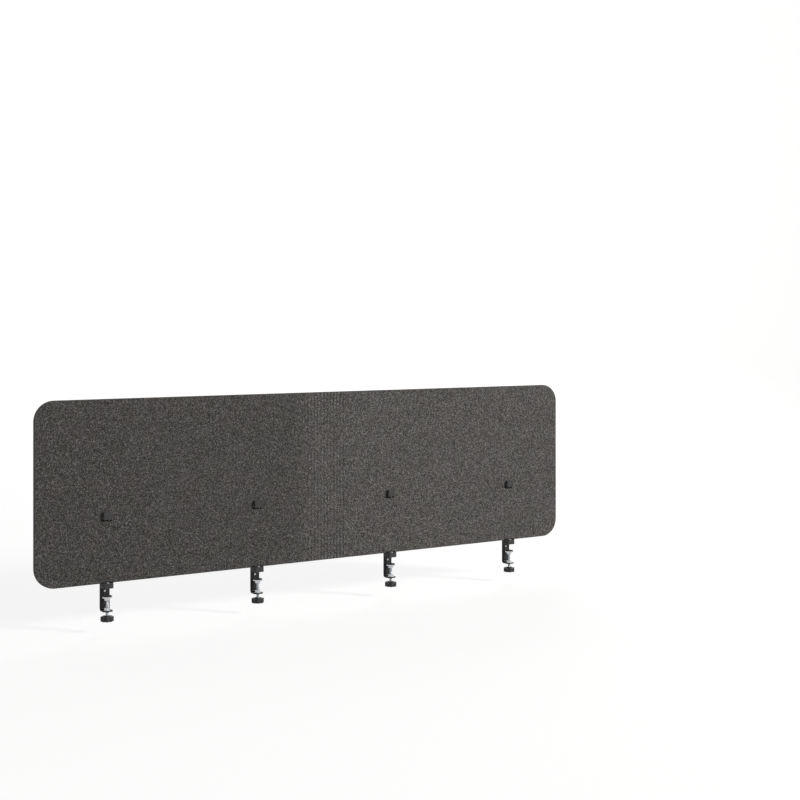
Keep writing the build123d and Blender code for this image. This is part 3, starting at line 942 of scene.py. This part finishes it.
@dataclass
class ClampSet:
    """One bracket's clamp: threaded spindle, thumb wheel, pads and the nut's weld."""

    number: int
    zinc: Material
    plastic: Material
    rubber: Material

    spindle_columns: int = 32
    rings_a_turn: int = 8
    pitch: float = 1.25 * MM
    thread_depth: float = 0.7 * MM
    groove_gain: float = 1.3
    crest_flat: float = 0.12
    run_out_share: float = 0.9
    thread_below_boss: float = 0.3 * MM
    neck_radius: float = 2.75 * MM
    head_height: float = 2.5 * MM
    head_bevel: float = 0.3 * MM

    wheel_radius: float = 16 * MM
    wheel_lobes: int = 8
    columns_a_lobe: int = 16
    scallop_radius: float = 6 * MM
    scallop_depth: float = 2.6 * MM
    scallop_blend: float = 0.45 * MM
    wheel_edge: float = 0.9 * MM
    wheel_recess: float = 0.9 * MM
    hub_radius: float = 8 * MM
    hub_height: float = 2 * MM
    # Radius, and height as a share of the recess
    recess_side: Profile = (
        (6.0 * MM, 1.0), (9.6 * MM, 1.0), (10.2 * MM, 0.6), (10.5 * MM, 0.15), (10.9 * MM, 0.0),
    )
    # How far outside the hub and above its foot, and how far inside the hub and below its top
    hub_fillet: Profile = ((0.9 * MM, 0.0), (0.25 * MM, 0.25 * MM), (0.0, 0.9 * MM))
    hub_round: Profile = ((0.0, 0.6 * MM), (0.2 * MM, 0.2 * MM), (0.6 * MM, 0.0))
    # Radius, and depth below the hub's top
    bore: Profile = ((4.1 * MM, 0.0), (4.03 * MM, 0.4 * MM), (4.03 * MM, 1.0 * MM), (AXIS, 1.0 * MM))

    rib_pitch: float = 2.2 * MM
    rib_depth: float = 0.35 * MM
    disc_edge: float = 0.5 * MM
    disc_rings: int = 60
    disc_columns: int = 64
    strip_corner: float = 2 * MM
    strip_columns: int = 13
    strip_rows: int = 85
    rib_fade_share: float = 0.25

    bead: float = 0.9 * MM
    bead_sides: int = 10
    bead_outward_share: float = 0.35
    bead_lift: float = 0.15 * MM
    ripples: int = 52
    ripple_share: float = 0.18
    stations_a_ripple: int = 6

    def __post_init__(self) -> None:
        """Reads where the clamp's pieces lie."""
        low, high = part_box(f"clamp_screw_{self.number}")
        self.centre = ((low[0] + high[0]) / 2, (low[1] + high[1]) / 2)
        self.screw_radius = (high[0] - low[0]) / 2
        self.screw_low, self.screw_high = low[2], high[2]

    def name(self, kind: str) -> str:
        """The name of this clamp's piece or node of a kind."""
        return f"{kind}_{self.number}"

    def spindle(self) -> Object:
        """Threaded rod: r = R - depth * groove(z / pitch - a / 2 pi), plain at both ends.

        The groove is a triangle wave with its crest and root cut flat. Neck and head come above the thread.

        Returns:
            The spindle.
        """
        low, high = self.screw_low, self.screw_high
        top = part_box(self.name("pressure_plate"))[0][2] - self.thread_below_boss
        z = np.linspace(low, top, round((top - low) / self.pitch * self.rings_a_turn) + 1)[:, None]
        angle = np.linspace(0, 2 * np.pi, self.spindle_columns, endpoint=False)
        phase = np.mod(z / self.pitch - angle / (2 * np.pi), 1)
        groove = np.clip((0.5 - np.abs(phase - 0.5)) * 2 * self.groove_gain - self.crest_flat, 0, 1)
        fade = np.clip(np.minimum(z - low, top - z) / self.pitch, 0, 1)
        radius = self.screw_radius - self.thread_depth * (groove * fade + self.run_out_share * (1 - fade))
        neck, head, bevel = self.neck_radius, self.screw_radius, self.head_bevel
        head_low = high - self.head_height
        profile = [
            (AXIS, low), *zip(radius, z[:, 0]), (neck, top), (neck, head_low),
            (head, head_low), (head, high - bevel), (head - bevel, high), (AXIS, high),
        ]
        points, quads = round_surface(profile, self.spindle_columns, self.centre)
        piece = add_mesh(self.name("threaded_spindle"), points, quads, [self.zinc], sharp_degrees=50)
        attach(piece, f"{Turning.SPINDLE.value}_{self.number}")
        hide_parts(self.name("clamp_screw"))
        return piece

    def wheel_outline(self, angle: np.ndarray) -> np.ndarray:
        """Radius of the scalloped rim: a soft minimum of the rim's circle and the scallops' arcs.

        In a scallop r = D cos t - sqrt(S^2 - D^2 sin^2 t), with D the distance of its centre, S its radius
        and t the angle from its middle. The soft minimum is -k ln(exp(-r / k) + exp(-R / k)).

        Args:
            angle: Angle of each column.

        Returns:
            Radius at each angle.
        """
        step = 2 * np.pi / self.wheel_lobes
        t = np.mod(angle + step / 2, step) - step / 2
        distance = self.wheel_radius + self.scallop_radius - self.scallop_depth
        inside = np.clip(self.scallop_radius ** 2 - (distance * np.sin(t)) ** 2, 0, None)
        scallop = distance * np.cos(t) - np.sqrt(inside)
        least = np.minimum(scallop, self.wheel_radius)
        k = self.scallop_blend
        return least - k * np.log(np.exp((least - scallop) / k) + np.exp((least - self.wheel_radius) / k))

    def wheel(self) -> Object:
        """Thumb wheel: a recessed underside, the scalloped outline with rounded rims, and a bored hub.

        On the rims the inset is e (1 - sin a) and the height e (1 - cos a).

        Returns:
            The wheel.
        """
        low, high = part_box(self.name("thumb_wheel"))
        bottom, top, shoulder = low[2], high[2], high[2] - self.hub_height
        columns = self.columns_a_lobe * self.wheel_lobes
        outline = self.wheel_outline(np.linspace(0, 2 * np.pi, columns, endpoint=False))
        rims = [(self.wheel_edge * (1 - math.sin(a)), self.wheel_edge * (1 - math.cos(a))) for a in QUARTER]
        profile = [(AXIS, bottom + self.wheel_recess)]
        profile += [(radius, bottom + share * self.wheel_recess) for radius, share in self.recess_side]
        profile += [(outline - inset, bottom + up) for inset, up in rims]
        profile += [(outline - inset, shoulder - down) for inset, down in reversed(rims)]
        profile += [(self.hub_radius + out, shoulder + up) for out, up in self.hub_fillet]
        profile += [(self.hub_radius - inset, top - down) for inset, down in self.hub_round]
        profile += [(radius, top - down) for radius, down in self.bore]
        points, quads = round_surface(profile, columns, self.centre)
        piece = add_mesh(self.name("scalloped_wheel"), points, quads, [self.plastic], sharp_degrees=40)
        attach(piece, f"{Turning.SPINDLE.value}_{self.number}")
        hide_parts(self.name("thumb_wheel"))
        return piece

    def lower_pad(self) -> Object:
        """Rubber disc with ribs in rings: z = top - depth (1 - cos(2 pi (F - r) / pitch)) / 2.

        F is the radius of the ribbed flat, inside the rounded edge.

        Returns:
            The pad.
        """
        low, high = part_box(self.name("lower_pad"))
        reach, bottom, top = (high[0] - low[0]) / 2, low[2], high[2]
        flat = reach - self.disc_edge
        r = np.linspace(flat, 2 * AXIS, self.disc_rings)
        ribs = top - self.rib_depth * (1 - np.cos(2 * np.pi * (flat - r) / self.rib_pitch)) / 2
        turns = np.radians([0, 30, 60])
        edge_r = reach - self.disc_edge * (1 - np.cos(turns))
        edge_z = top - self.disc_edge * (1 - np.sin(turns))
        profile = [(AXIS, bottom), (reach, bottom), *zip(edge_r, edge_z), *zip(r, ribs)]
        points, quads = round_surface(profile, self.disc_columns, self.centre)
        piece = add_mesh(self.name("ribbed_disc"), points, quads, [self.rubber], sharp_degrees=50)
        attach(piece, f"{Turning.FOOT.value}_{self.number}")
        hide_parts(self.name("lower_pad"))
        return piece

    def upper_pad(self) -> Object:
        """Rubber strip with ribs across its underside: z = low + depth (1 - cos(2 pi y / pitch)) / 2.

        Near its two ends the strip narrows by c - sqrt(c^2 - (c - y)^2) on each side, with c the corner's
        radius and y the distance from the end, and the ribs fade out.

        Returns:
            The pad.
        """
        low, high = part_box(self.name("upper_pad"))
        across = np.linspace(low[0], high[0], self.strip_columns)
        along = np.linspace(low[1], high[1], self.strip_rows)
        x, y = np.meshgrid(across, along, indexing="ij")
        end = np.minimum(np.minimum(y - low[1], high[1] - y) / self.strip_corner, 1)
        drawn_in = self.strip_corner * (1 - np.sqrt(np.clip(1 - (1 - end) ** 2, 0, 1)))
        middle, half = (low[0] + high[0]) / 2, (high[0] - low[0]) / 2
        x = middle + (x - middle) * (half - drawn_in) / half
        depth = self.rib_depth * np.minimum(end / self.rib_fade_share, 1)
        under = low[2] + depth * (1 - np.cos(2 * np.pi * (y - low[1]) / self.rib_pitch)) / 2
        points = np.stack([np.stack(np.broadcast_arrays(x, y, z), axis=-1) for z in (under, high[2])])
        number = np.arange(x.size).reshape(x.shape)
        grid, loop = cells(number).reshape(-1, 4), border(number)
        after = np.roll(loop, -1)
        sides = np.stack([loop, after, after + x.size, loop + x.size], axis=-1)
        quads = np.concatenate([grid[:, ::-1], grid + x.size, sides])
        piece = add_mesh(self.name("ribbed_strip"), points, quads, [self.rubber], sharp_degrees=50)
        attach(piece, "screen")
        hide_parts(self.name("upper_pad"))
        return piece

    def weld(self) -> Object:
        """Weld bead round the nut: a thin tube along the nut's hexagon, swelling with each ripple.

        The path's radius is the hexagon's, f / cos t, held below the corner radius. The tube's is
        b (1 + s cos(n a)), with n ripples of share s.

        Returns:
            The bead.
        """
        low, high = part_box(self.name("clamp_nut"))
        flat_half, corner = (high[1] - low[1]) / 2, (high[0] - low[0]) / 2
        stations = self.stations_a_ripple * self.ripples
        angle = np.linspace(0, 2 * np.pi, stations, endpoint=False)[:, None]
        t = np.mod(angle, np.pi / 3) - np.pi / 6
        path = np.minimum(flat_half / np.cos(t), corner)
        tube = np.linspace(0, 2 * np.pi, self.bead_sides, endpoint=False)
        bead = self.bead * (1 + self.ripple_share * np.cos(self.ripples * angle))
        r = path + bead * self.bead_outward_share + bead * np.cos(tube)
        points = np.stack([
            self.centre[0] + r * np.cos(angle),
            self.centre[1] + r * np.sin(angle),
            low[2] + self.bead_lift + bead * np.sin(tube),
        ], axis=-1)
        number = np.arange(r.size).reshape(r.shape)
        quads = cells(np.pad(number, (0, 1), mode="wrap")).reshape(-1, 4)
        piece = add_mesh(self.name("nut_weld"), points, quads, [self.zinc], sharp_degrees=80)
        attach(piece, "screen")
        return piece


@dataclass
class Hardware:
    """The steel and plastic nodes that keep their own shape and only take a finish."""

    coat: Material
    plastic: Material
    zinc: Material

    def dress(self) -> None:
        """Gives each kept node its finish."""
        finishes = {
            "bracket": self.coat,
            "upper_jaw": self.coat,
            "hook_cap": self.plastic,
            "jaw_cover": self.plastic,
            "clamp_nut": self.zinc,
            "pressure_plate": self.zinc,
            "jaw_rivets": self.zinc,
            "cover_screws": self.zinc,
        }
        for name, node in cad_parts.items():
            for kind, material in finishes.items():
                if name.startswith(kind):
                    for slot in node.material_slots:
                        slot.material = material
                    log.info("%s takes %s", name, material.name)


@dataclass(frozen=True)
class Lamp:
    """A soft rectangular lamp that is aimed at the board's middle."""

    name: str
    place: tuple[float, float, float]
    width: float
    height: float
    power: float
    colour: str = WHITE
    aim: tuple[float, float, float] = (0.0, 0.0, 0.2)

    def hang(self) -> None:
        """Puts the lamp in its place, with its face turned to the board."""
        light = bpy.data.lights.new(self.name, "AREA")
        light.shape = "RECTANGLE"
        light.size, light.size_y = self.width, self.height
        light.energy = self.power
        light.color = linear(self.colour)[:3]
        lamp = bpy.data.objects.new(self.name, light)
        away = np.subtract(self.place, self.aim)
        lamp.location = self.place
        flat = math.hypot(away[0], away[1])
        lamp.rotation_euler = (math.atan2(flat, away[2]), 0.0, math.atan2(away[0], -away[1]))
        bpy.context.collection.objects.link(lamp)


@dataclass
class Studio:
    """Floor with a wall that curves up behind, soft lights and the camera."""

    floor_height: float = -0.11
    half_width: float = 9.0
    front_reach: float = -7.0
    wall_start: float = 3.0
    wall_radius: float = 1.6
    wall_steps: int = 24
    wall_top: float = 7.0
    lamps: tuple[Lamp, ...] = (
        Lamp("key", (6.2, -7.6, 4.3), width=1.8, height=1.8, power=935.0, colour="#fffdfa"),
        Lamp("left_strip", (-3.6, -1.9, 0.4), width=0.2, height=1.0, power=8.0),
        Lamp("rear", (3.5, 4.5, 3.0), width=3.0, height=3.0, power=200.0),
    )
    surround: float = 0.15
    camera_place: tuple[float, float, float] = (-1.927, -3.290, 0.654)
    camera_turn_degrees: float = -33.5
    lens_mm: float = 63.6
    sensor_mm: float = 36.0
    shift_right: float = -0.0012
    shift_up: float = -0.0993

    def backdrop(self, paper: Material) -> Object:
        """Floor, quarter round and wall in one sheet: a profile in Y and Z carried along X.

        Args:
            paper: The finish.

        Returns:
            The backdrop.
        """
        turn = np.linspace(0, np.pi / 2, self.wall_steps + 1)
        behind = self.wall_start + self.wall_radius
        y = np.concatenate([[self.front_reach], self.wall_start + self.wall_radius * np.sin(turn), [behind]])
        z = np.concatenate([[0], self.wall_radius * (1 - np.cos(turn)), [self.wall_top]]) + self.floor_height
        x = np.array([[-self.half_width], [self.half_width]])
        points = np.stack(np.broadcast_arrays(x, y, z), axis=-1)
        quads = cells(np.arange(2 * len(y)).reshape(2, -1)).reshape(-1, 4)
        sheet = add_mesh("backdrop", points, quads, [paper], sharp_degrees=60)
        return sheet

    def lights(self) -> None:
        """Hangs the lamps and sets the even surrounding light, which camera, gloss and glass see as white."""
        for lamp in self.lamps:
            lamp.hang()
        world = bpy.data.worlds.new("surround")
        shader = Shader(world)
        strength = shader.add("MapRange", {"Value": background_seen(shader), "To Min": self.surround})
        glow = shader.add("Background", {"Color": WHITE, "Strength": strength})
        shader.add("OutputWorld", {"Surface": glow})
        bpy.context.scene.world = world

    def camera(self) -> None:
        """The camera, level, at the photograph's angle."""
        lens = bpy.data.cameras.new("camera")
        lens.lens = self.lens_mm
        lens.sensor_width = self.sensor_mm
        lens.shift_x = self.shift_right
        lens.shift_y = self.shift_up
        camera = bpy.data.objects.new("camera", lens)
        camera.location = self.camera_place
        camera.rotation_euler = (math.pi / 2, 0.0, math.radians(self.camera_turn_degrees))
        bpy.context.collection.objects.link(camera)
        bpy.context.scene.camera = camera


def main() -> None:
    """Builds the pieces in order, reports each and lights them."""
    logging.basicConfig(level=logging.INFO, format="%(message)s")
    bpy.context.scene.view_settings.view_transform = "Standard"
    coat = PowderCoatFinish().material()
    plastic = MouldedFinish().material()
    zinc = ZincFinish().material()
    rubber = RubberFinish().material()
    # The slots' walls take the cut felt's finish made nearly black: painted shade inside the slots
    painted_slot_shade = FeltEdgeFinish(
        "slot_felt_painted_shade", ground="#161515", pale_fibre="#272625", dark_fibre="#0a0909"
    )
    felts = FeltFinish().material(), FeltEdgeFinish().material(), painted_slot_shade.material()
    caps = sorted(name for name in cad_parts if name.startswith("hook_cap"))
    middles = [(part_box(name)[0][0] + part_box(name)[1][0]) / 2 for name in caps]
    pieces = [FeltBoard(*felts, middles).build()]
    Hardware(coat, plastic, zinc).dress()
    for number in range(1, len(caps) + 1):
        clamp = ClampSet(number, zinc, plastic, rubber)
        pieces += [clamp.spindle(), clamp.wheel(), clamp.lower_pad(), clamp.upper_pad(), clamp.weld()]
    studio = Studio()
    pieces.append(studio.backdrop(BackdropFinish().material()))
    for piece in pieces:
        log.info("%s has %d faces", piece.name, len(piece.data.polygons))
    studio.lights()
    studio.camera()


if __name__ == "__main__":
    main()
